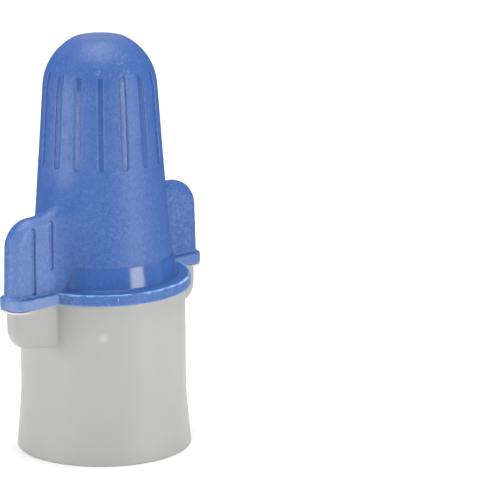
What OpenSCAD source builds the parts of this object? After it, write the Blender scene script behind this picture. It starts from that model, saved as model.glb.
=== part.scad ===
// Twist-on wire connector: a hard cap with two swept wings and a flange, a soft
// skirt moulded under the flange and round the cap's sleeve, and a conical coil
// spring of square wire inside the cap. It stands on its open mouth, +Z up, with
// the origin at the centre of the mouth. The wings lie along X.

/* [Overall] */
// Height from the mouth's rim to the flat tip
overall_h = 47.5; // [45:0.5:52]
// Outer diameter of the skirt's mouth
mouth_d = 20; // [19.6:0.1:20.6]

/* [Cap] */
// Radius of the domed end
dome_r = 6.6; // [6.4:0.05:6.7]
// Radius of the flat at the tip
tip_flat_r = 2.35; // [1.8:0.05:2.8]
// Draft of the grip's cone, in degrees
cone_draft = 4; // [3.8:0.1:4.3]
// Height of the cone's foot, where the grip begins to flare
cone_foot_z = 26.5; // [25.5:0.1:27]
// Height of the flange's top face
flange_top_z = 19.95; // [19.7:0.05:20.2]
// Thickness of the flange
flange_t = 1.28; // [1:0.02:1.5]
// Radius of the flange
flange_r = 10.07; // [9.9:0.01:10.2]
// Height of the smooth band above the flange
band_h = 2.6; // [2:0.1:3]
// Radius of the band where it meets the flange
band_foot_r = 8.6; // [8.3:0.05:8.8]
// Radius of the band's top
band_top_r = 8.1; // [8:0.02:8.2]

/* [Sleeve and bore] */
// Height of the sleeve's lower end
sleeve_end_z = 9.5; // [8:0.1:11]
// Bore that the wires pass through
bore_r = 7.8; // [7.6:0.05:7.9]
// Wall of the sleeve
sleeve_wall = 0.8; // [0.7:0.05:0.85]
// How far the locking ridge stands out of the sleeve
ridge_h = 0.25; // [0.15:0.05:0.3]

/* [Wings] */
// Reach of a wing from the axis, at its foot
wing_reach = 15.05; // [14.9:0.05:15.2]
// Near face of a wing, as a distance from the plane through the axis
wing_y0 = 0.72; // [0.5:0.02:0.9]
// Far face of a wing
wing_y1 = 3.32; // [3:0.02:3.4]
// Height of a wing's top
wing_top_z = 28.7; // [28:0.1:29.2]
// Radius of the wing's outer top corner
wing_corner_r = 3.1; // [2:0.1:3.2]
// Radius of the blend from a wing's far face into the grip
root_blend_r = 4; // [2.5:0.1:4.5]
// Radius of the blend from a wing's top into the grip
top_blend_r = 3.6; // [2:0.1:3.8]
// Reach of the flange's arms, which carry the wings
arm_reach = 15.3; // [15.25:0.05:15.6]
// How far an arm stands out to each side of its wing
arm_margin = 0.75; // [0.4:0.05:0.8]

/* [Flutes] */
// Number of flutes round the grip
flute_count = 16; // [12:1:18]
// Lower end of the flutes
flute_z0 = 33.55; // [32.8:0.05:35]
// Upper end of the flutes
flute_z1 = 44; // [42.5:0.05:44]
// Radius of the flute's round section
flute_r = 0.42; // [0.3:0.02:0.5]
// Depth of a flute
flute_depth = 0.22; // [0.15:0.01:0.28]
// Direction of the first flute, in degrees from +X
flute_phase = 232.6; // [0:0.1:360]

/* [Skirt] */
// Outer radius at the waist
waist_r = 9.45; // [9.4:0.01:9.5]
// Height of the waist, where the flare to the mouth begins
waist_z = 6.3; // [5.5:0.1:7]
// Wall at the mouth
mouth_wall = 0.72; // [0.6:0.02:0.9]
// Thickness of the lip under the flange's arms
lip_t = 0.2; // [0.15:0.05:0.4]
// How far the lip stays back from the flange's edge
lip_inset = 0.6; // [0.3:0.05:0.7]
// Reach of the skirt's wings
skirt_wing_reach = 14.4; // [14:0.05:14.6]
// Height of their underside
skirt_wing_z = 14.1; // [13:0.1:15]
// Radius of their lower outer corner
skirt_corner_r = 2.3; // [1.5:0.1:2.6]

/* [Spring] */
// Side of the square wire
wire_side = 1.1; // [0.9:0.05:1.15]
// Pitch of the coil
coil_pitch = 1.68; // [1.65:0.01:1.7]
// Number of turns
coil_turns = 11; // [9:0.5:11]
// Mean radius at the open end
coil_r0 = 5.55; // [5.3:0.05:5.6]
// Mean radius at the closed end
coil_r1 = 3.2; // [3:0.05:3.4]
// Height of the first turn
coil_z0 = 22.9; // [22.8:0.1:23.2]

/* [Hidden] */
$fn = 96;

blue = [0.16, 0.33, 0.67];
grey = [0.66, 0.67, 0.65];
steel = [0.72, 0.73, 0.75];

// How far solids that are joined run into each other, and cutters run past a face
overlap = 0.5;
past = 1;

// Heights and radii that follow from the sizes above
dome_z = overall_h - sqrt(pow(dome_r, 2) - pow(tip_flat_r, 2));
flange_z = flange_top_z - flange_t;
band_top_z = flange_top_z + band_h;
sleeve_r = bore_r + sleeve_wall;
mouth_r = mouth_d / 2;
top_blend_z = wing_top_z + top_blend_r;

// Cavity for the spring, its lead-in and its roof
cavity_r0 = 6.7;
cavity_r1 = 5.15;
cavity_z0 = 22.2;
lead_in_h = 1.4;
bore_top_z = cavity_z0 - lead_in_h;
cavity_roof_r = 2.4;

// Ribs between the cavity's wall and the spring
rib_count = 8;
rib_t = 0.7;
rib_gap = 0.12;
rib_foot_r = 2;
rib_foot_gap = 0.6;
rib_root = 0.4;
tip_room = 3;

// Sleeve's locking ridge, a ring with sloped sides
ridge_z = 12.6;
ridge_half = 0.8;

// Wings: lean of the outer end, plan radii of the tips, and how deep the root sinks into the grip
wing_draft = 0.3;
wing_tip_r = 1.25;
arm_tip_r = 1.6;
root_sink = 0.25;

// Skirt: its wings sit inside the lip's outline, and its mouth has a rounded rim
skirt_wing_y0 = wing_y0 + 0.2;
skirt_wing_y1 = wing_y1 - 0.2;
skirt_wing_tip_r = 1.05;
skirt_wing_draft = 0.15;
rim = 0.15;
top_flare = 0.08;

// Grooves in the wing's far face: [distance from the axis, bottom, top]
wing_grooves = [[12.1, flange_top_z + 0.15, 27.6], [9.6, 22.5, 28.2]];
groove_r = 0.3;
groove_depth = 0.22;

// Spring
wire_half = wire_side / sqrt(2);
coil_steps = 36;
coil_end_z = coil_z0 + coil_pitch * coil_turns;

function cone_r(z) = dome_r / cos(cone_draft) + (dome_z - z) * tan(cone_draft);

function arc(c, r, a0, a1, n = 8) =
    [for (i = [0:n]) let (a = a0 + (a1 - a0) * i / n) [c.x + r * cos(a), c.y + r * sin(a)]];

// Plan of a bar from the axis to a rounded tip, between two parallel sides. Its
// far side curves away by root_r to meet a round body of radius body_r.
function bar_outline(reach, y0, y1, tip_r, body_r = 0, root_r = 0) =
    let (root_y = y1 + root_r,
         root_x = sqrt(max(0, pow(body_r + root_r, 2) - pow(root_y, 2))))
    concat(
        [[0, y0]],
        arc([reach - tip_r, y0 + tip_r], tip_r, -90, 0),
        arc([reach - tip_r, y1 - tip_r], tip_r, 0, 90),
        root_r > 0 ? arc([root_x, root_y], root_r, -90, -180 + atan(root_y / root_x), 10) : [],
        [[0, y1]]
    );

// The two wings are the same, half a turn apart
module both_sides() {
    for (turn = [0, 180]) rotate([0, 0, turn]) children();
}

module bar(reach, y0, y1, tip_r, z0, z1, body_r = 0, root_r = 0) {
    translate([0, 0, z0]) linear_extrude(z1 - z0)
        polygon(bar_outline(reach, y0, y1, tip_r, body_r, root_r));
}

// A wing's side view in XZ, over all of the wing's width and its blends
module side_slab(points) {
    translate([0, flange_r, 0]) rotate([90, 0, 0]) linear_extrude(flange_r) polygon(points);
}

module grip_body() {
    rotate_extrude() polygon(concat(
        [[0, flange_top_z - overlap], [band_foot_r, flange_top_z - overlap]],
        [[band_foot_r, flange_top_z], [band_top_r, band_top_z], [cone_r(cone_foot_z), cone_foot_z]],
        arc([0, dome_z], dome_r, cone_draft, acos(tip_flat_r / dome_r), 14),
        [[0, overall_h]]
    ));
}

module cap_wing() {
    top_x = wing_reach - wing_draft;
    intersection() {
        bar(wing_reach, wing_y0, wing_y1, wing_tip_r, flange_top_z - overlap, top_blend_z,
            cone_r(wing_top_z) - root_sink, root_blend_r);
        side_slab(concat(
            [[0, flange_top_z - overlap], [wing_reach, flange_top_z - overlap]],
            arc([top_x - wing_corner_r, wing_top_z - wing_corner_r], wing_corner_r, 0, 90, 10),
            arc([cone_r(top_blend_z) + top_blend_r, top_blend_z], top_blend_r, 270, 180, 8),
            [[0, top_blend_z]]
        ));
    }
}

module flange() {
    translate([0, 0, flange_z]) cylinder(r = flange_r, h = flange_t);
    both_sides() bar(arm_reach, wing_y0 - arm_margin, wing_y1 + arm_margin, arm_tip_r,
        flange_z, flange_top_z);
}

// Half of the sleeve's section, from the axis out to its ridge and up to top_z
module sleeve_section(top_z) {
    polygon([
        [0, sleeve_end_z], [sleeve_r, sleeve_end_z],
        [sleeve_r, ridge_z - ridge_half], [sleeve_r + ridge_h, ridge_z - ridge_half / 2],
        [sleeve_r + ridge_h, ridge_z + ridge_half / 2], [sleeve_r, ridge_z + ridge_half],
        [sleeve_r, top_z], [0, top_z]
    ]);
}

module flute() {
    sink = flute_r - flute_depth;
    foot = [cone_r(flute_z0) + sink, flute_z0 + flute_r];
    head = [sqrt(pow(dome_r, 2) - pow(flute_z1 - dome_z, 2)) + sink, flute_z1 - flute_r];
    tilt = atan((foot.x - head.x) / (head.y - foot.y));
    length = norm(head - foot);
    translate([foot.x, 0, foot.y]) rotate([0, -tilt, 0]) {
        cylinder(r = flute_r, h = length, $fn = 32);
        sphere(r = flute_r, $fn = 32);
        translate([0, 0, length]) sphere(r = flute_r, $fn = 32);
    }
}

module wing_groove(x, z0, z1) {
    length = z1 - z0 - 2 * groove_r;
    translate([x, wing_y1 + groove_r - groove_depth, z0 + groove_r]) {
        cylinder(r = groove_r, h = length, $fn = 24);
        sphere(r = groove_r, $fn = 24);
        translate([0, 0, length]) sphere(r = groove_r, $fn = 24);
    }
}

// The hollow that holds the spring: a straight bore, a lead-in and a cone
module cavity() {
    rotate_extrude() polygon(concat(
        [[0, cavity_z0 - overlap], [cavity_r0, cavity_z0 - overlap], [cavity_r0, cavity_z0]],
        arc([0, dome_z], cavity_r1, 0, acos(cavity_roof_r / cavity_r1), 8),
        [[0, dome_z + sqrt(pow(cavity_r1, 2) - pow(cavity_roof_r, 2))]]
    ));
    translate([0, 0, bore_top_z]) cylinder(r1 = bore_r, r2 = cavity_r0, h = lead_in_h);
    translate([0, 0, sleeve_end_z - past]) cylinder(r = bore_r, h = bore_top_z - sleeve_end_z + past);
}

// Ribs stand in from the cavity's wall to the spring's outer edge
module ribs() {
    outer_r0 = coil_r0 + wire_half + rib_gap;
    outer_r1 = coil_r1 + wire_half + rib_gap;
    foot_z = cavity_z0 + rib_foot_gap;
    top_z = coil_end_z + wire_half + 2 * rib_foot_gap;
    difference() {
        intersection() {
            for (i = [0:rib_count - 1]) rotate([0, 0, i * 360 / rib_count])
                translate([rib_foot_r, -rib_t / 2, foot_z]) cube([cavity_r0, rib_t, top_z - foot_z]);
            translate([0, 0, cavity_z0]) cylinder(r1 = cavity_r0 + rib_root, r2 = cavity_r1 + rib_root,
                h = dome_z - cavity_z0 + past);
        }
        translate([0, 0, coil_z0]) cylinder(r1 = outer_r0, r2 = outer_r1, h = coil_end_z - coil_z0);
        translate([0, 0, coil_z0 - past]) cylinder(r = outer_r0, h = past);
        translate([0, 0, coil_end_z]) cylinder(r = outer_r1, h = wire_half);
        translate([0, 0, coil_end_z]) cylinder(r = coil_r1, h = tip_room);
    }
}

module cap_shell() {
    color(blue) {
        difference() {
            union() {
                grip_body();
                both_sides() cap_wing();
                flange();
                rotate_extrude() sleeve_section(flange_z + overlap);
            }
            cavity();
            for (i = [0:flute_count - 1])
                rotate([0, 0, flute_phase + i * 360 / flute_count]) flute();
            both_sides() for (g = wing_grooves) wing_groove(g.x, g.y, g.z);
        }
        ribs();
    }
}

module skirt_wing() {
    foot_x = skirt_wing_reach - skirt_wing_draft;
    intersection() {
        bar(skirt_wing_reach, skirt_wing_y0, skirt_wing_y1, skirt_wing_tip_r, skirt_wing_z,
            flange_z - lip_t / 2);
        side_slab(concat(
            [[0, skirt_wing_z]],
            arc([foot_x - skirt_corner_r, skirt_wing_z + skirt_corner_r], skirt_corner_r, -90, 0, 10),
            [[skirt_wing_reach, flange_z], [0, flange_z]]
        ));
    }
}

// The skirt's outside: a straight tube that flares to the mouth
module skirt_body() {
    bell_z = waist_z / 6;
    knee_z = waist_z * 2 / 3;
    knee_r = waist_r + (mouth_r - waist_r) / 4;
    rotate_extrude() polygon([
        [0, 0], [mouth_r - 3 * rim, 0], [mouth_r - rim, rim / 2], [mouth_r, 5 * rim / 2],
        [mouth_r, bell_z], [knee_r, knee_z], [waist_r, waist_z],
        [waist_r + top_flare, flange_z], [0, flange_z]
    ]);
}

module skirt() {
    inner_r = mouth_r - mouth_wall;
    color(grey) difference() {
        union() {
            skirt_body();
            both_sides() {
                bar(arm_reach - lip_inset, wing_y0 - arm_margin + lip_inset,
                    wing_y1 + arm_margin - lip_inset, arm_tip_r - lip_inset, flange_z - lip_t, flange_z);
                skirt_wing();
            }
        }
        // The sleeve's place, with its ridge
        rotate_extrude() sleeve_section(flange_z + past);
        // The way in
        translate([0, 0, waist_z - past]) cylinder(r = sleeve_r, h = sleeve_end_z - waist_z + 2 * past);
        rotate_extrude() polygon([
            [0, -past], [inner_r + rim, -past], [inner_r + rim, 0], [inner_r, 2 * rim],
            [sleeve_r, waist_z], [0, waist_z]
        ]);
    }
}

// Square wire wound on edge: its corners point in, out, up and down
function ring(i) =
    let (t = i / coil_steps,
         a = 360 * t,
         r = coil_r0 + (coil_r1 - coil_r0) * t / coil_turns,
         z = coil_z0 + coil_pitch * t)
    [for (c = [[-1, 0], [0, 1], [1, 0], [0, -1]])
        [(r + c.x * wire_half) * cos(a), (r + c.x * wire_half) * sin(a), z + c.y * wire_half]];

module grip_spring() {
    n = coil_steps * coil_turns;
    points = [for (i = [0:n]) each ring(i)];
    sides = [for (i = [0:n - 1], k = [0:3]) let (j = (k + 1) % 4)
        [4 * i + k, 4 * i + 4 + k, 4 * i + 4 + j, 4 * i + j]];
    triangles = [for (s = sides) each [[s[0], s[1], s[2]], [s[0], s[2], s[3]]]];
    ends = [[0, 1, 2], [0, 2, 3], [4 * n + 2, 4 * n + 1, 4 * n], [4 * n + 3, 4 * n + 2, 4 * n]];
    color(steel) polyhedron(points, concat(triangles, ends));
}

cap_shell();
skirt();
grip_spring();
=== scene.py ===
import math

import bmesh
import bpy
import numpy as np
from mathutils import Matrix, Vector


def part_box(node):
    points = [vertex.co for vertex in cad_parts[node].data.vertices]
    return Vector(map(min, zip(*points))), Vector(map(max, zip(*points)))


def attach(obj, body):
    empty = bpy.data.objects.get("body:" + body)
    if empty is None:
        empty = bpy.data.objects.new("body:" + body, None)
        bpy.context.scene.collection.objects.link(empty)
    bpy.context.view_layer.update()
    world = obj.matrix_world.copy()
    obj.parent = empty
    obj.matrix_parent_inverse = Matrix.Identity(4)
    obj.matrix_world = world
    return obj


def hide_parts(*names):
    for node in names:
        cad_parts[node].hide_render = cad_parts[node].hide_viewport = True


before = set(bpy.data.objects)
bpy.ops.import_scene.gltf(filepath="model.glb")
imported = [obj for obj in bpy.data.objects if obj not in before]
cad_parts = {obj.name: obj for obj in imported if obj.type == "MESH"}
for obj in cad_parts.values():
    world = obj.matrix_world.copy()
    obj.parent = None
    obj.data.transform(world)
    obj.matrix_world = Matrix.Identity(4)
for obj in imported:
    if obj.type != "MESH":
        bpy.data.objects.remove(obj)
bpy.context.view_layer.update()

MM = 0.001  # the shapes below are in millimetres, and meshes are scaled by this

# ---------------------------------------------------------------- sizes
cap_low, cap_high = (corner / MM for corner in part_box("cap_shell"))
_, skirt_high = (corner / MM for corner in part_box("skirt"))

TIP_Z = cap_high.z
FLANGE_R = cap_high.y
FLANGE_Z = skirt_high.z
FLANGE_TOP = FLANGE_Z + 1.28
FLANGE_SLOPE, FLANGE_WIDTH = 0.1, 1.6
FLANGE_EDGE, FLANGE_FILLET, FLASH_FILLET = 0.2, 0.1, 0.06
MOUTH_R = skirt_high.y
SLEEVE_END = cap_low.z

# Grip
DOME_R = 6.5
TIP_FLAT_R, TIP_EDGE = 2.45, 0.3
DOME_Z = TIP_Z - math.sqrt(DOME_R**2 - TIP_FLAT_R**2)
DRAFT = math.radians(4)
FLARE_TOP, FLARE_SLOPE = 26.5, 0.048
BAND_TOP, BAND_TOP_R, BAND_SLOPE = 22.55, 8.13, 0.18

# Wings: u runs out along a wing, n across it, and both wings are the same half a turn apart
WING_N0, WING_N1 = 0.72, 3.32
WING_REACH = cap_high.x - 0.25
WING_TOP = 28.7
WING_CORNER = 3.1
WING_EDGE = 1.2
WING_DRAFT = 0.033
FOOT_FILLET, TOP_FILLET = 0.8, 2.8
FILLET_Z0, FILLET_Z1 = 20.5, 28.0
# The wing's root is a wall that follows the grip. It is sunk in the grip by the top fillet's radius or
# more, because otherwise the fillet would swell the grip all along it.
ROOT_SWEEP, ROOT_SINK = 7.6, 2.8
# Under each wing the flange reaches out as an arm
ARM_REACH = cap_high.x - 0.1
ARM_MARGIN = 0.75
ARM_TIP = 1.5
ARM_FILLET = 0.06
# Each groove's distance from the axis, lower end and upper end
GROOVES = ((12.15, FLANGE_TOP, 27.75), (9.62, 22.5, 28.3))
GROOVE_HALF, GROOVE_WALL, GROOVE_DEPTH = 0.31, 0.14, 0.3

# Flutes
FLUTES = 16
FLUTE_Z0, FLUTE_Z1 = 33.3, 44.0
FLUTE_HALF, FLUTE_WALL, FLUTE_DEPTH = 0.43, 0.17, 0.11
FLUTE_PHASE = math.radians(232.6)
FLOOR_POLISH = 0.6  # of a flute's floor, where 0 is the matt grip and 1 the band

# Scuffed patches on the dome: direction in degrees, height and size
SCUFFS = ((266, 44.3, 1.4), (180, 44.9, 0.6), (232, 44.5, 0.4))

# Inside: the bore, and above it a cavity that narrows to the spring's end
BORE_R, BORE_TOP, SLEEVE_R = 7.8, 20.8, 8.6
CAVITY_R0, CAVITY_R1, ROOF_R = 6.7, 5.15, 2.4
CAVITY_Z0, CAVITY_EDGE, SLEEVE_EDGE = 22.2, 0.1, 0.15
RIDGE_Z, RIDGE_HALF, RIDGE_RAMP, RIDGE_HEIGHT = 12.6, 0.8, 0.4, 0.25
COIL_TURNS, COIL_PITCH = 11, 1.68
COIL_R0, COIL_R1 = 5.55, 3.2
COIL_Z0 = 22.9
COIL_GAP = 0.12
WIRE_SIDE, WIRE_CORNER = 1.1, 0.12
RIBS, RIB_HALF, RIB_EDGE = 8, 0.35, 0.1

# Skirt
WAIST_R = 9.45
WAIST_Z = 6.2
FLARE = (MOUTH_R - WAIST_R) / WAIST_Z
MOUTH_WALL = 0.72
MOUTH_OUTER_EDGE, MOUTH_INNER_EDGE = 0.16, 0.33
# The lip that shows under the flange: its thickness, and its inset from the flange's edge, which shrinks
# along the arms from LIP_U0 to LIP_U1
LIP_T, LIP_INSET, LIP_TIP_INSET = 0.3, 0.6, 0.0
LIP_U0, LIP_U1 = 11.0, 14.0
LIP_EDGE, LIP_FILLET = 0.08, 0.05
# The block under each wing, whose lower face slopes
BLOCK_N0, BLOCK_N1 = WING_N0 + 0.2, WING_N1 - 0.2
BLOCK_Z, BLOCK_TILT, BLOCK_DRAFT = 14.1, 0.13, 0.02
BLOCK_CORNER, BLOCK_EDGE, BLOCK_FILLET = 2.1, 0.85, 0.22
BLOCK_REACH = skirt_high.x
GATE_ANGLE, GATE_Z = math.radians(232.3), 14.95


# ---------------------------------------------------------------- distance fields
def blend(a, b, radius):
    """Union of two solids with a fillet."""
    near = np.hypot(np.maximum(radius - a, 0), np.maximum(radius - b, 0))
    return np.maximum(radius, np.minimum(a, b)) - near


def meet(a, b, radius):
    """Intersection of two solids with a rounded edge."""
    near = np.hypot(np.maximum(radius + a, 0), np.maximum(radius + b, 0))
    return np.minimum(-radius, np.maximum(a, b)) + near


def cut(a, b, radius):
    """The first solid without the second, with a rounded edge."""
    return meet(a, -b, radius)


def ramp(x, soft):
    """max(x, 0) with a soft start."""
    return (x + np.sqrt(x * x + soft * soft)) / 2


def smooth(x):
    """A soft step from 0 at x = 0 to 1 at x = 1."""
    x = np.clip(x, 0, 1)
    return x * x * (3 - 2 * x)


def slab(value, low, high):
    """Distance to the space between two parallel planes."""
    return np.abs(value - (low + high) / 2) - (high - low) / 2


def polygon(points, x, y):
    """Distance to a closed outline, negative inside."""
    nearest, inside = None, False
    for (x0, y0), (x1, y1) in zip(points, points[1:] + points[:1]):
        ex, ey = x1 - x0, y1 - y0
        along = np.clip(((x - x0) * ex + (y - y0) * ey) / (ex * ex + ey * ey), 0, 1)
        gap = (x - x0 - along * ex) ** 2 + (y - y0 - along * ey) ** 2
        nearest = gap if nearest is None else np.minimum(nearest, gap)
        if ey:
            crossed = ((y0 <= y) != (y1 <= y)) & (x < x0 + ex * (y - y0) / ey)
            inside = inside ^ crossed
    return np.sqrt(nearest) * np.where(inside, -1, 1)


def wing_axes(r, a):
    """Distance out along the nearer wing, and across it."""
    x, y = r * np.cos(a), r * np.sin(a)
    return np.abs(x), y * np.where(x < 0, -1.0, 1.0)


def folded(a, phase, count):
    """Angle from the nearest of count equal directions."""
    step = 2 * math.pi / count
    return (a - phase + step / 2) % step - step / 2


def ripple(a, seed, waves):
    """Smooth noise round a circle, mostly from -1 to 1."""
    rng = np.random.default_rng(seed)
    total = 0.0
    for k in waves:
        total = total + np.sin(k * a + rng.uniform(0, 2 * math.pi)) / math.sqrt(len(waves))
    return total


def grip_side(r, z):
    """The cone, with its flare near the flange, and the dome on it."""
    cone_r = DOME_R / math.cos(DRAFT) + (DOME_Z - z) * math.tan(DRAFT)
    cone = (r - cone_r - FLARE_SLOPE * ramp(FLARE_TOP - z, 1.5)) * math.cos(DRAFT)
    dome = np.hypot(r, z - DOME_Z) - DOME_R
    return np.where(z - DOME_Z > math.tan(DRAFT) * r, dome, cone)


def wing(u, n, z):
    """One wing, with its swept root."""
    end = u - WING_REACH + WING_DRAFT * (z - FLANGE_TOP)
    side = meet(end, z - WING_TOP, WING_CORNER)
    root = grip_side(np.hypot(u, WING_N1), z) + ROOT_SINK
    side = blend(side, root, ROOT_SWEEP)
    return meet(side, slab(n, WING_N0, WING_N1), WING_EDGE)


def flange_plan(r, u, n):
    """The outline of the flange and its arms, seen from above."""
    arm = meet(u - ARM_REACH, slab(n, WING_N0, WING_N1) - ARM_MARGIN, ARM_TIP)
    return blend(r - FLANGE_R, arm, ARM_FILLET)


def flange_top(r):
    """The flange's top face rises a little towards the band."""
    return FLANGE_TOP + FLANGE_SLOPE * np.clip(FLANGE_R - r, 0, FLANGE_WIDTH)


def winged_grip(r, u, n, z):
    """The grip and its wings, with a fillet that widens towards the wing's top."""
    share = smooth((z - FILLET_Z0) / (FILLET_Z1 - FILLET_Z0))
    fillet = FOOT_FILLET + (TOP_FILLET - FOOT_FILLET) * share
    grip = meet(grip_side(r, z), z - TIP_Z, TIP_EDGE)
    return blend(grip, wing(u, n, z), fillet)


def band(r, z):
    """The smooth band above the flange."""
    side = (r - BAND_TOP_R - BAND_SLOPE * (BAND_TOP - z)) / math.hypot(1, BAND_SLOPE)
    return meet(side, z - BAND_TOP, 0.03)


def ragged(a):
    """1 where the flash is at its roughest, and 0 round most of the flange."""
    return np.exp(-((folded(a, math.radians(303), 1) / 0.35) ** 2))


def flash(r, a, z):
    """The thin uneven bead on the flange's upper edge."""
    wobble = 0.03 * ripple(a, 5, (9, 14, 23, 37, 58))
    size = 0.09 + 0.035 * ripple(a, 8, (5, 11, 19, 31, 47)) + 0.02 * ragged(a)
    inset, drop = 0.17, 0.06
    return np.hypot(r - FLANGE_R + inset - wobble, z - FLANGE_TOP + drop) - size


def slot_plan(across, z, low, high, half):
    """Distance to an upright slot with round ends."""
    along = np.maximum(np.maximum(low + half - z, z - high + half), 0)
    return np.hypot(across, along) - half


def flutes(r, a, z):
    """1 on a flute's floor and 0 outside it, with sloped walls."""
    across = r * np.sin(folded(a, FLUTE_PHASE, FLUTES))
    return smooth(-slot_plan(across, z, FLUTE_Z0, FLUTE_Z1, FLUTE_HALF) / FLUTE_WALL)


def grooves(u, n, z):
    """1 along the middle of a groove in a wing's far face, and 0 outside it."""
    depth = 0.0
    for place, low, high in GROOVES:
        gap = slot_plan(u - place, z, low, high, GROOVE_HALF)
        depth = np.maximum(depth, smooth(-gap / GROOVE_WALL))
    return depth * (n > (WING_N0 + WING_N1) / 2)


def cavity(r, z):
    """The hole in the cap. Its outline runs past the axis, where r ends at 0."""
    top = math.acos(ROOF_R / CAVITY_R1)
    dome = [(CAVITY_R1 * math.cos(t), DOME_Z + CAVITY_R1 * math.sin(t)) for t in np.linspace(0, top, 8)]
    outline = [(-5, 0), (BORE_R, 0), (BORE_R, BORE_TOP), (CAVITY_R0, CAVITY_Z0)]
    return polygon(outline + dome + [(-5, dome[-1][1])], r, z)


def ribs(r, a, z):
    """Ribs that hold the spring, up to a little outside of its coils."""
    half = WIRE_SIDE / math.sqrt(2)
    coil_top = COIL_Z0 + COIL_TURNS * COIL_PITCH
    share = np.clip((z - COIL_Z0) / (coil_top - COIL_Z0), 0, 1)
    room = COIL_R0 + (COIL_R1 - COIL_R0) * share + half + COIL_GAP
    room = np.where(z > coil_top + half, COIL_R1, room)
    across = np.abs(r * np.sin(folded(a, 0, RIBS))) - RIB_HALF
    wall_r = CAVITY_R0 + (CAVITY_R1 - CAVITY_R0) * (z - CAVITY_Z0) / (DOME_Z - CAVITY_Z0)
    over_end, into_wall = 1.2, 0.4
    height = slab(z, COIL_Z0, coil_top + half + over_end)
    rib = meet(meet(across, room - r, RIB_EDGE), height, RIB_EDGE)
    return np.maximum(rib, r - wall_r - into_wall)


def cap_field(r, a, z):
    u, n = wing_axes(r, a)
    grip = winged_grip(r, u, n, z) + GROOVE_DEPTH * grooves(u, n, z) + FLUTE_DEPTH * flutes(r, a, z)
    foot, sleeve_top = FLANGE_Z + 0.3, FLANGE_Z + 0.4
    body = np.maximum(np.minimum(grip, band(r, z)), foot - z)
    plate = meet(flange_plan(r, u, n), slab(z, FLANGE_Z, flange_top(r)), FLANGE_EDGE)
    body = blend(body, plate, FLANGE_FILLET)
    body = blend(body, flash(r, a, z), FLASH_FILLET)
    ridge = RIDGE_HEIGHT * np.clip((RIDGE_HALF - np.abs(z - RIDGE_Z)) / RIDGE_RAMP, 0, 1)
    sleeve = meet(r - SLEEVE_R - ridge, SLEEVE_END - z, SLEEVE_EDGE)
    body = np.minimum(body, np.maximum(sleeve, z - sleeve_top))
    body = cut(body, cavity(r, z), CAVITY_EDGE)
    return np.minimum(body, ribs(r, a, z))


def skirt_field(r, a, z):
    u, n = wing_axes(r, a)
    outside = r - WAIST_R - FLARE * ramp(WAIST_Z - z, 1.2)
    shell = meet(outside, -z, MOUTH_OUTER_EDGE)
    end = u - BLOCK_REACH + BLOCK_DRAFT * (FLANGE_Z - z)
    side = meet(end, BLOCK_Z - BLOCK_TILT * (BLOCK_REACH - u) - z, BLOCK_CORNER)
    block = meet(side, slab(n, BLOCK_N0, BLOCK_N1), BLOCK_EDGE)
    shell = blend(shell, block, BLOCK_FILLET)
    inset = LIP_INSET + (LIP_TIP_INSET - LIP_INSET) * smooth((u - LIP_U0) / (LIP_U1 - LIP_U0))
    lip = meet(flange_plan(r, u, n) + inset, FLANGE_Z - LIP_T - z, LIP_EDGE)
    shell = blend(shell, lip, LIP_FILLET)
    shell = np.maximum(shell, z - FLANGE_Z)
    mouth_r, past = MOUTH_R - MOUTH_WALL, 3
    inner = [(-5, -past), (mouth_r, -past), (mouth_r, 0), (SLEEVE_R, WAIST_Z),
             (SLEEVE_R, FLANGE_Z + past), (-5, FLANGE_Z + past)]
    return cut(shell, polygon(inner, r, z), MOUTH_INNER_EDGE)


# ---------------------------------------------------------------- meshes from fields
def steps(*runs):
    """Grid positions from (start, step) pairs, the last pair being the end."""
    places = []
    for (start, step), (end, _) in zip(runs, runs[1:]):
        count = max(1, round((end - start) / step))
        places.extend(start + (end - start) * k / count for k in range(count))
    return np.array(places + [runs[-1][0]])


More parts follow.
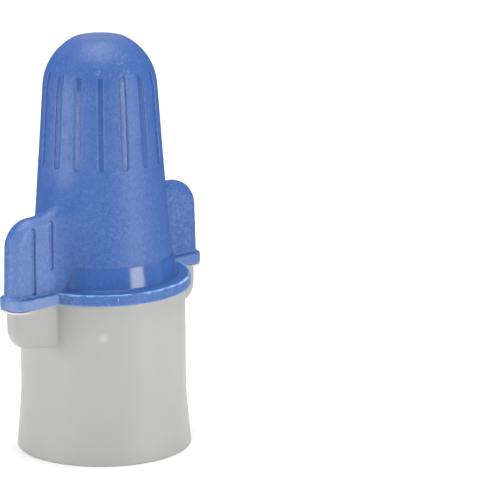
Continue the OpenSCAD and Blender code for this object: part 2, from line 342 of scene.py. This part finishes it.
def net(field, rs, angles, zs):
    """A closed quad mesh of field = 0 on a grid of radii, angles and heights.

    One vertex in each cell that the surface passes, and one face across each grid edge that it cuts.
    """
    turns = len(angles)
    value = field(rs[:, None, None], angles[None, :, None], zs[None, None, :])
    value = np.broadcast_to(value, (len(rs), turns, len(zs)))
    cells = (len(rs) - 1, turns, len(zs) - 1)

    def place(i, j, k):
        return np.stack([rs[i] * np.cos(angles[j]), rs[i] * np.sin(angles[j]), zs[k]], -1)

    owners, points, edges = [], [], []
    for axis in range(3):
        step = np.eye(3, dtype=int)[axis]
        if axis == 1:
            ahead = np.roll(value, -1, 1)
            here = value
        else:
            cut_off = [slice(None)] * 3
            cut_off[axis] = slice(0, -1)
            here = value[tuple(cut_off)]
            cut_off[axis] = slice(1, None)
            ahead = value[tuple(cut_off)]
        i, j, k = np.nonzero((here < 0) != (ahead < 0))
        low, high = here[i, j, k], ahead[i, j, k]
        share = (low / (low - high))[:, None]
        start = place(i, j, k)
        end = place(i + step[0], (j + step[1]) % turns, k + step[2])
        point = start + share * (end - start)
        others = [n for n in range(3) if n != axis]
        corner_ids = []
        for back in ((0, 0), (1, 0), (1, 1), (0, 1)):
            cell = np.stack([i, j, k])
            for n, b in zip(others, back):
                cell[n] -= b
            cell[1] %= turns
            valid = (cell[0] >= 0) & (cell[0] < cells[0]) & (cell[2] >= 0) & (cell[2] < cells[2])
            flat = np.where(valid, (cell[0] * cells[1] + cell[1]) * cells[2] + cell[2], -1)
            corner_ids.append(flat)
            owners.append(flat[valid])
            points.append(point[valid])
        face = np.stack(corner_ids, 1)
        flip = (low < 0) != (axis != 1)
        face[flip] = face[flip][:, ::-1]
        edges.append(face[(face >= 0).all(1)])
    owners, points = np.concatenate(owners), np.concatenate(points)
    used, owner = np.unique(owners, return_inverse=True)
    count = np.bincount(owner)[:, None]
    verts = np.stack([np.bincount(owner, points[:, n]) for n in range(3)], 1) / count
    faces = np.searchsorted(used, np.concatenate(edges))
    fans = []
    if rs[0] == 0:
        line = value[0, 0]
        for k in np.nonzero((line[:-1] < 0) != (line[1:] < 0))[0]:
            ring = np.searchsorted(used, np.arange(turns) * cells[2] + k)
            centre = len(verts)
            verts = np.vstack([verts, [0, 0, verts[ring, 2].mean()]])
            fan = np.stack([np.full(turns, centre), ring, np.roll(ring, -1)], 1)
            fans.append(fan if line[k] < 0 else fan[:, ::-1])
    return verts, faces, fans


def slope(field, verts):
    """The field's value and gradient at points."""
    def at(p):
        return field(np.hypot(p[:, 0], p[:, 1]), np.arctan2(p[:, 1], p[:, 0]), p[:, 2])

    tiny = 0.004
    gradient = np.stack([(at(verts + tiny * e) - at(verts - tiny * e)) / (2 * tiny) for e in np.eye(3)], 1)
    return at(verts), gradient


def settle(field, verts, rounds=3, reach=0.12):
    """Moves vertices onto the surface, by at most reach in each round."""
    for _ in range(rounds):
        value, gradient = slope(field, verts)
        size = np.maximum((gradient**2).sum(1), 0.25)
        verts = verts - gradient * np.clip(value / size, -reach, reach)[:, None]
    return verts


def mesh_object(name, verts, faces, normals=None):
    mesh = bpy.data.meshes.new(name)
    mesh.from_pydata((verts * MM).tolist(), [], faces)
    mesh.validate()
    mesh.polygons.foreach_set("use_smooth", [True] * len(mesh.polygons))
    if normals is not None:
        mesh.normals_split_custom_set_from_vertices(normals.tolist())
    piece = bpy.data.objects.new(name, mesh)
    bpy.context.scene.collection.objects.link(piece)
    return piece


def moulding(name, field, rs, angles, zs):
    """A piece whose surface and shading both come from a distance field."""
    verts, faces, fans = net(field, rs, angles, zs)
    verts = settle(field, verts)
    gradient = slope(field, verts)[1]
    normals = gradient / np.maximum(np.linalg.norm(gradient, axis=1), 1e-6)[:, None]
    all_faces = faces.tolist() + [f for fan in fans for f in fan.tolist()]
    return mesh_object(name, verts, all_faces, normals)


def paint(piece, name, mask):
    """Stores a mask from 0 to 1 on a piece's vertices. mask takes r, a, z in millimetres."""
    co = np.zeros(len(piece.data.vertices) * 3)
    piece.data.vertices.foreach_get("co", co)
    x, y, z = co.reshape(-1, 3).T / MM
    values = mask(np.hypot(x, y), np.arctan2(y, x), z)
    layer = piece.data.attributes.new(name, "FLOAT", "POINT")
    layer.data.foreach_set("value", np.clip(values, 0, 1).astype(np.float32))


# ---------------------------------------------------------------- materials
class Nodes:
    """A short way to write a procedural material."""

    def __init__(self, name):
        self.material = bpy.data.materials.new(name)
        self.material.use_nodes = True
        self.tree = self.material.node_tree
        self.shader = self.tree.nodes["Principled BSDF"]
        self.where = self.add("ShaderNodeTexCoord").outputs["Object"]

    def add(self, kind, **settings):
        node = self.tree.nodes.new(kind)
        for key, value in settings.items():
            setattr(node, key, value)
        return node

    def put(self, socket, value):
        if isinstance(value, bpy.types.NodeSocket):
            self.tree.links.new(value, socket)
        else:
            socket.default_value = value

    def noise(self, size_mm, detail=2.0, rough=0.5, stretch=(1, 1, 1)):
        scale = self.add("ShaderNodeMapping")
        scale.inputs["Scale"].default_value = [s / (size_mm * MM) for s in stretch]
        self.put(scale.inputs["Vector"], self.where)
        node = self.add("ShaderNodeTexNoise")
        node.inputs["Scale"].default_value = 1
        node.inputs["Detail"].default_value = detail
        node.inputs["Roughness"].default_value = rough
        self.put(node.inputs["Vector"], scale.outputs["Vector"])
        return node.outputs["Fac"]

    def level(self, value, low, high, to_low=0.0, to_high=1.0):
        node = self.add("ShaderNodeMapRange", clamp=True)
        settings = {"Value": value, "From Min": low, "From Max": high, "To Min": to_low, "To Max": to_high}
        for key, number in settings.items():
            self.put(node.inputs[key], number)
        return node.outputs["Result"]

    def math(self, operation, a, b):
        node = self.add("ShaderNodeMath", operation=operation)
        self.put(node.inputs[0], a)
        self.put(node.inputs[1], b)
        return node.outputs["Value"]

    def total(self, *parts):
        """Sum of (value, weight) pairs."""
        found = None
        for value, weight in parts:
            share = self.math("MULTIPLY", value, weight)
            found = share if found is None else self.math("ADD", found, share)
        return found

    def mix(self, factor, a, b):
        node = self.add("ShaderNodeMix", data_type="RGBA")
        self.put(node.inputs["Factor"], factor)
        for socket, value in ((node.inputs[6], a), (node.inputs[7], b)):
            self.put(socket, value if isinstance(value, bpy.types.NodeSocket) else (*value, 1))
        return node.outputs[2]

    def attribute(self, name):
        return self.add("ShaderNodeAttribute", attribute_name=name).outputs["Fac"]

    def bump(self, height, depth_mm, strength=1.0):
        node = self.add("ShaderNodeBump")
        node.inputs["Strength"].default_value = strength
        node.inputs["Distance"].default_value = depth_mm * MM
        self.put(node.inputs["Height"], height)
        self.put(self.shader.inputs["Normal"], node.outputs["Normal"])

    def set(self, **values):
        for key, value in values.items():
            self.put(self.shader.inputs[key.replace("_", " ")], value)
        return self.material


def cap_plastic():
    m = Nodes("cap_plastic")
    base, pale, deep = (0.036, 0.103, 0.33), (0.074, 0.163, 0.42), (0.02, 0.066, 0.255)
    polish, edge, painted_sheen = m.attribute("polish"), m.attribute("flash"), m.attribute("painted_sheen")
    grain, mottle, cloud = m.noise(0.17, 2), m.noise(0.42, 3, 0.6), m.noise(3.5, 3, 0.6)
    tone = m.total((grain, 0.9), (mottle, 0.75), (cloud, 0.35))
    tone = m.math("MULTIPLY", m.math("SUBTRACT", tone, 1.0), m.level(polish, 0, 1, 1, 0.45))
    tone = m.math("MULTIPLY", tone, m.level(m.attribute("coarse"), 0, 1, 1, 2.8))
    colour = m.mix(m.level(tone, 0, 0.68), base, pale)
    colour = m.mix(m.level(tone, 0, -0.68), colour, deep)
    # Painted shade: the flutes' floors are mixed towards the dark blue, standing in for their darker
    # reflection.
    floors = m.math("SUBTRACT", m.level(polish, 0, FLOOR_POLISH), m.level(polish, FLOOR_POLISH, 1))
    colour = m.mix(m.math("MULTIPLY", floors, 0.65), colour, deep)
    specks = m.math("MULTIPLY", m.level(m.noise(0.42, 3, 0.6), 0.58, 0.66), m.attribute("scuff"))
    colour = m.mix(m.math("MULTIPLY", specks, 0.62), colour, (0.34, 0.42, 0.46))
    # Painted sheen: a paler blue where light catches the arms and the wings' far faces.
    colour = m.mix(m.math("MULTIPLY", painted_sheen, 0.7), colour, (0.16, 0.24, 0.46))
    dots = m.math("MULTIPLY", m.level(m.noise(0.3, 1), 0.68, 0.76), m.attribute("dots"))
    colour = m.mix(m.math("MULTIPLY", dots, 0.55), colour, (0.42, 0.52, 0.66))
    # Pale blue for the flash, which also paints a highlight along the flange's lower edge.
    flash_and_highlight_tint = m.mix(m.level(m.noise(0.9, 3, 0.7), 0.5, 0.68), (0.2, 0.48, 0.85), (0.62, 0.74, 0.9))
    colour = m.mix(m.math("MULTIPLY", edge, 0.8), colour, flash_and_highlight_tint)
    matte = m.level(m.noise(1.2, 2), 0.3, 0.7, 0.4, 0.48)
    rough = m.add("ShaderNodeMix", data_type="FLOAT")
    m.put(rough.inputs["Factor"], polish)
    m.put(rough.inputs[2], matte)
    m.put(rough.inputs[3], 0.15)
    height = m.math("MULTIPLY", m.total((grain, 0.7), (mottle, 0.5)), m.level(polish, 0, 1, 1, 0.08))
    m.bump(height, 0.07, 0.8)
    sparkle = m.math("MULTIPLY", m.math("SUBTRACT", m.noise(0.2, 1), 0.5), m.level(polish, 0, 1, 1, 0.3))
    sparkle = m.level(sparkle, -0.15, 0.15, 0.28, 0.58)
    m.set(Specular_IOR_Level=sparkle, Specular_Tint=(1, 0.95, 0.65, 1))
    return m.set(Base_Color=colour, Roughness=rough.outputs[0], IOR=1.49)


def skirt_vinyl():
    m = Nodes("skirt_vinyl")
    base, warm, cool = (0.334, 0.336, 0.323), (0.346, 0.343, 0.322), (0.318, 0.327, 0.319)
    colour = m.mix(m.level(m.noise(6, 3, 0.6, (1, 1, 0.4)), 0.3, 0.7), cool, warm)
    colour = m.mix(0.5, colour, base)
    speck = m.level(m.noise(0.7, 1), 0.8, 0.83)
    colour = m.mix(m.math("MULTIPLY", speck, 0.35), colour, (0.2, 0.2, 0.19))
    colour = m.mix(m.math("MULTIPLY", m.attribute("pale"), 0.7), colour, (0.6, 0.6, 0.58))
    rough = m.level(m.noise(1.5, 3), 0.3, 0.7, 0.4, 0.5)
    m.bump(m.noise(0.5, 3, 0.6), 0.015, 0.6)
    return m.set(Base_Color=colour, Roughness=rough, IOR=1.5)


def spring_steel():
    m = Nodes("spring_steel")
    colour = m.mix(m.level(m.noise(1.5, 3), 0.3, 0.7), (0.55, 0.56, 0.58), (0.7, 0.71, 0.72))
    lines = m.noise(0.25, 2, 0.6, (0.3, 0.3, 6))
    m.bump(lines, 0.01, 0.7)
    rough = m.level(m.noise(0.6, 3), 0.3, 0.7, 0.22, 0.38)
    return m.set(Base_Color=colour, Roughness=rough, Metallic=1.0)


# ---------------------------------------------------------------- pieces
def flute_angles():
    """Directions for the cap's mesh: close together at the flutes' edges, and the same at every flute."""
    half = math.pi / FLUTES
    edge = 0.062
    fine = np.linspace(-edge, edge, 13)
    coarse = np.linspace(edge, 2 * half - edge, 8)[1:-1]
    period = np.concatenate([fine, coarse])
    return np.concatenate([FLUTE_PHASE + period + 2 * half * k for k in range(FLUTES)])


def make_cap():
    # The grid is fine at edges, grooves and the ends of the flutes, and coarse where little changes
    rs = steps((0, 0.5), (2.5, 0.12), (3.2, 0.3), (8.0, 0.22), (9.5, 0.1), (11.3, 0.28), (12.2, 0.1),
               (13.1, 0.28), (16, 0))
    zs = steps((9.2, 0.3), (9.8, 1.2), (12.0, 0.3), (13.2, 1.3), (18.4, 0.12), (20.3, 0.22), (22.8, 0.5),
               (25.4, 0.35), (27.8, 0.3), (32.0, 0.55), (33.1, 0.13), (33.9, 0.7), (41.0, 0.4),
               (43.4, 0.13), (44.2, 0.32), (46.8, 0.12), (47.8, 0))
    piece = moulding("cap_moulding", cap_field, rs, flute_angles(), zs)

    def polish(r, a, z):
        """The band, and less strongly the flutes' floors."""
        u, n = wing_axes(r, a)
        collar = smooth((winged_grip(r, u, n, z) - band(r, z)) / 0.06 + 0.3)
        collar = collar * smooth((z - FLANGE_TOP - 0.1) / 0.1) * smooth((BAND_TOP - z) / 0.1)
        outer_face = r > 5.8
        return np.maximum(collar, FLOOR_POLISH * smooth(flutes(r, a, z) * 1.8 - 0.7) * outer_face)

    def rim(r, a, z):
        """The flange's outer faces."""
        u, n = wing_axes(r, a)
        return smooth((flange_plan(r, u, n) + 0.25) / 0.15) * (slab(z, FLANGE_Z, FLANGE_TOP + 0.1) < 0)

    def flash_and_highlight_edges(r, a, z):
        """The flash, a painted highlight along the flange's lower edge, and the foot of each wing."""
        u, n = wing_axes(r, a)
        upper = (0.7 + 0.3 * ragged(a)) * smooth(1 - flash(r, a, z) / 0.06)
        # Painted highlight: the flange's rounded lower edge is made paler where light catches it.
        lower = 0.45 * smooth(1 - np.hypot(flange_plan(r, u, n) + 0.05, z - FLANGE_Z - 0.05) / 0.16)
        foot = 0.3 * smooth(1 - np.hypot(z - FLANGE_TOP - 0.08, wing(u, n, z)) / 0.22)
        return np.maximum(np.maximum(upper, lower), foot)

    def scuff(r, a, z):
        """Where the dome is scratched: a few patches, and a little all over."""
        patches = 0.06
        for direction, height, size in SCUFFS:
            gap = np.hypot(r * folded(a, math.radians(direction), 1), z - height)
            patches = np.maximum(patches, np.exp(-((gap / size) ** 2)))
        return patches

    def coarse(r, a, z):
        """The wings' faces, which have a rougher texture."""
        u, n = wing_axes(r, a)
        faces = smooth((0.5 - wing(u, n, z)) / 0.4) * (z > FLANGE_TOP + 0.3) * np.where(n > 2, 0.6, 1)
        return smooth((u - 8.6) / 1.5) * faces

    def painted_sheen(r, a, z):
        """Painted sheen: paler where light catches the arms, the wings' far faces and, a little, the rest
        of the flange's rim.
        """
        u, n = wing_axes(r, a)
        arms = rim(r, a, z) * np.where(r > FLANGE_R + 0.1, 0.4 + 0.6 * smooth((n - 1.5) / 1.5), 0.05)
        return np.maximum(arms, 0.75 * coarse(r, a, z) * smooth((n - 2.2) / 0.8))

    paint(piece, "polish", polish)
    paint(piece, "coarse", coarse)
    # The flash mask also carries the painted highlight on the flange's lower edge.
    paint(piece, "flash", flash_and_highlight_edges)
    paint(piece, "painted_sheen", painted_sheen)
    paint(piece, "dots", lambda r, a, z: rim(r, a, z) * (r < FLANGE_R + 0.1))
    paint(piece, "scuff", scuff)
    return piece


def gate_distance(r, a, z):
    """Distance from the mark that the mould's gate left on the skirt."""
    return np.hypot(r * folded(a, GATE_ANGLE, 1), z - GATE_Z)


def make_skirt():
    rs = steps((8.3, 0.11), (10.3, 0.25), (16, 0))
    zs = steps((-0.3, 0.1), (0.7, 0.35), (13.7, 0.25), (18.1, 0.1), (18.9, 0))

    def field(r, a, z):
        nub = 0.12 * np.exp(-((gate_distance(r, a, z) / 0.22) ** 2))
        return skirt_field(r, a, z) - nub

    def pale(r, a, z):
        """The gate's mark, and the lip under each arm."""
        outer_face, arms = r > 9.2, r > 13.2
        mark = 0.7 * np.exp(-((gate_distance(r, a, z) / 0.4) ** 2)) * outer_face
        return np.maximum(mark, smooth((z - FLANGE_Z + LIP_T) / LIP_EDGE) * arms)

    piece = moulding("skirt_moulding", field, rs, np.arange(320) * math.pi / 160, zs)
    paint(piece, "pale", pale)
    return piece


def make_spring():
    """A conical coil of square wire that lies with a corner of its section inwards."""
    ring_steps, corner_steps = 60, 3
    flat = WIRE_SIDE / 2 - WIRE_CORNER
    section = []
    for quarter in range(4):
        turn = quarter * math.pi / 2
        cx, cy = flat * math.sqrt(2) * math.cos(turn), flat * math.sqrt(2) * math.sin(turn)
        for step in range(corner_steps + 1):
            angle = turn + math.pi / 2 * (step / corner_steps - 0.5)
            section.append((cx + WIRE_CORNER * math.cos(angle), cy + WIRE_CORNER * math.sin(angle)))
    section = np.array(section)
    turn = np.arange(ring_steps * COIL_TURNS + 1) / ring_steps
    mean_r = COIL_R0 + (COIL_R1 - COIL_R0) * turn / COIL_TURNS
    r = mean_r[:, None] + section[None, :, 0]
    z = COIL_Z0 + COIL_PITCH * turn[:, None] + section[None, :, 1]
    a = (2 * math.pi * turn)[:, None]
    verts = np.stack([r * np.cos(a), r * np.sin(a), z + 0 * a], -1).reshape(-1, 3)
    sides = len(section)
    faces = []
    for i in range(len(turn) - 1):
        for k in range(sides):
            j = (k + 1) % sides
            faces.append([i * sides + k, (i + 1) * sides + k, (i + 1) * sides + j, i * sides + j])
    faces.append(list(range(sides)))
    faces.append([(len(turn) - 1) * sides + k for k in reversed(range(sides))])
    piece = mesh_object("spring_coil", verts, faces)
    bm = bmesh.new()
    bm.from_mesh(piece.data)
    bmesh.ops.recalc_face_normals(bm, faces=bm.faces)
    bm.to_mesh(piece.data)
    bm.free()
    piece.data.set_sharp_from_angle(angle=math.radians(50))
    return piece


def dress(piece, node, material):
    piece.data.materials.append(material)
    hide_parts(node)
    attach(piece, "root")


dress(make_cap(), "cap_shell", cap_plastic())
dress(make_skirt(), "skirt", skirt_vinyl())
dress(make_spring(), "grip_spring", spring_steel())


# ---------------------------------------------------------------- floor, light and camera
def make_floor():
    m = Nodes("floor_paint")
    tone = m.mix(m.level(m.noise(60, 3), 0.3, 0.7), (0.94, 0.94, 0.94), (0.96, 0.96, 0.96))
    bm = bmesh.new()
    bmesh.ops.create_grid(bm, x_segments=8, y_segments=8, size=3.0)
    mesh = bpy.data.meshes.new("floor")
    bm.to_mesh(mesh)
    bm.free()
    floor = bpy.data.objects.new("floor", mesh)
    bpy.context.scene.collection.objects.link(floor)
    floor.data.materials.append(m.set(Base_Color=tone, Roughness=0.6))


VIEW_AZIMUTH = math.radians(40.3)
VIEW_PITCH = math.radians(14.45)


def around(azimuth_deg, flat_distance, height):
    """A point round the object. Azimuth 0 is the camera's side, and it grows to the camera's right."""
    heading = math.radians(azimuth_deg) - VIEW_AZIMUTH - math.pi / 2
    return Vector((flat_distance * math.cos(heading), flat_distance * math.sin(heading), height))


def softbox(name, place, facing, width, height, brightness):
    """An even rectangle of light. Its power is 4 W for each square metre, times the brightness."""
    data = bpy.data.lights.new(name, "AREA")
    data.shape = "RECTANGLE"
    data.size, data.size_y = width, height
    data.energy = 4 * width * height * brightness
    light = bpy.data.objects.new(name, data)
    light.location = place
    light.rotation_euler = facing.to_track_quat("-Z", "Y").to_euler()
    light.visible_camera = False
    bpy.context.scene.collection.objects.link(light)


def strip_light(name, azimuth, angular_width, height, brightness):
    """A softbox that stands on the floor to one side of the object."""
    distance = 0.25
    place = around(azimuth, distance, height / 2)
    facing = Vector((-place.x, -place.y, 0))
    width = 2 * distance * math.tan(math.radians(angular_width) / 2)
    softbox(name, place, facing, width, height, brightness)


def make_lights():
    strip_light("right_strip", 57, 22, 0.14, 7.2)
    strip_light("left_strip", -68, 20, 0.14, 5.9)
    strip_light("left_low_strip", -47, 18, 0.02, 14.0)
    softbox("crown_box", around(0, -0.02, 0.5), Vector((0, 0, -1)), 0.4, 0.4, 1.3)
    softbox("top_box", around(180, 0.1, 1.4), Vector((0, 0, -1)), 1.15, 1.15, 3.2)
    back = around(180, 0.7, 0.3)
    softbox("back_panel", back, Vector((-back.x, -back.y, 0)), 1.0, 0.6, 0.5)
    world = bpy.data.worlds.new("studio")
    bpy.context.scene.world = world
    world.use_nodes = True
    background = world.node_tree.nodes["Background"]
    background.inputs["Color"].default_value = (1, 1, 1, 1)
    background.inputs["Strength"].default_value = 0.3


def make_camera():
    """The photograph's viewpoint, from a fit to the object's mouth, waist, flange and outlines."""
    distance, roll = 0.400, -0.0023
    aim = Vector((0.01284, -0.01089, 0.02264))
    level = math.cos(VIEW_PITCH)
    ahead = Vector((math.sin(VIEW_AZIMUTH) * level, math.cos(VIEW_AZIMUTH) * level, -math.sin(VIEW_PITCH)))
    right = ahead.cross(Vector((0, 0, 1))).normalized()
    up = right.cross(ahead)
    right, up = right * math.cos(roll) + up * math.sin(roll), up * math.cos(roll) - right * math.sin(roll)
    data = bpy.data.cameras.new("camera")
    data.sensor_width = 36
    data.lens = 253.1
    data.clip_start, data.clip_end = 0.01, 20
    camera = bpy.data.objects.new("camera", data)
    turn = Matrix((right, up, -ahead)).transposed().to_4x4()
    camera.matrix_world = Matrix.Translation(aim - ahead * distance) @ turn
    bpy.context.scene.collection.objects.link(camera)
    bpy.context.scene.camera = camera


def make_flag(name, azimuth):
    """A dark card beside the object that only shows in its reflections, so that its outline stays deep."""
    distance, half_width, height = 0.075, 0.06, 0.075
    low, high = around(azimuth, distance, 0.0), around(azimuth, distance, height)
    aside = Vector((-low.y, low.x, 0)).normalized() * half_width
    mesh = bpy.data.meshes.new(name)
    mesh.from_pydata([low - aside, low + aside, high + aside, high - aside], [], [(0, 1, 2, 3)])
    card = bpy.data.objects.new(name, mesh)
    bpy.context.scene.collection.objects.link(card)
    m = Nodes(name)
    card.data.materials.append(m.set(Base_Color=(0.02, 0.03, 0.06, 1), Roughness=0.9))
    card.visible_camera = card.visible_diffuse = card.visible_shadow = False


make_floor()
make_flag("left_flag", -135)
make_flag("right_flag", 140)
make_lights()
make_camera()
bpy.context.scene.view_settings.view_transform = "Standard"
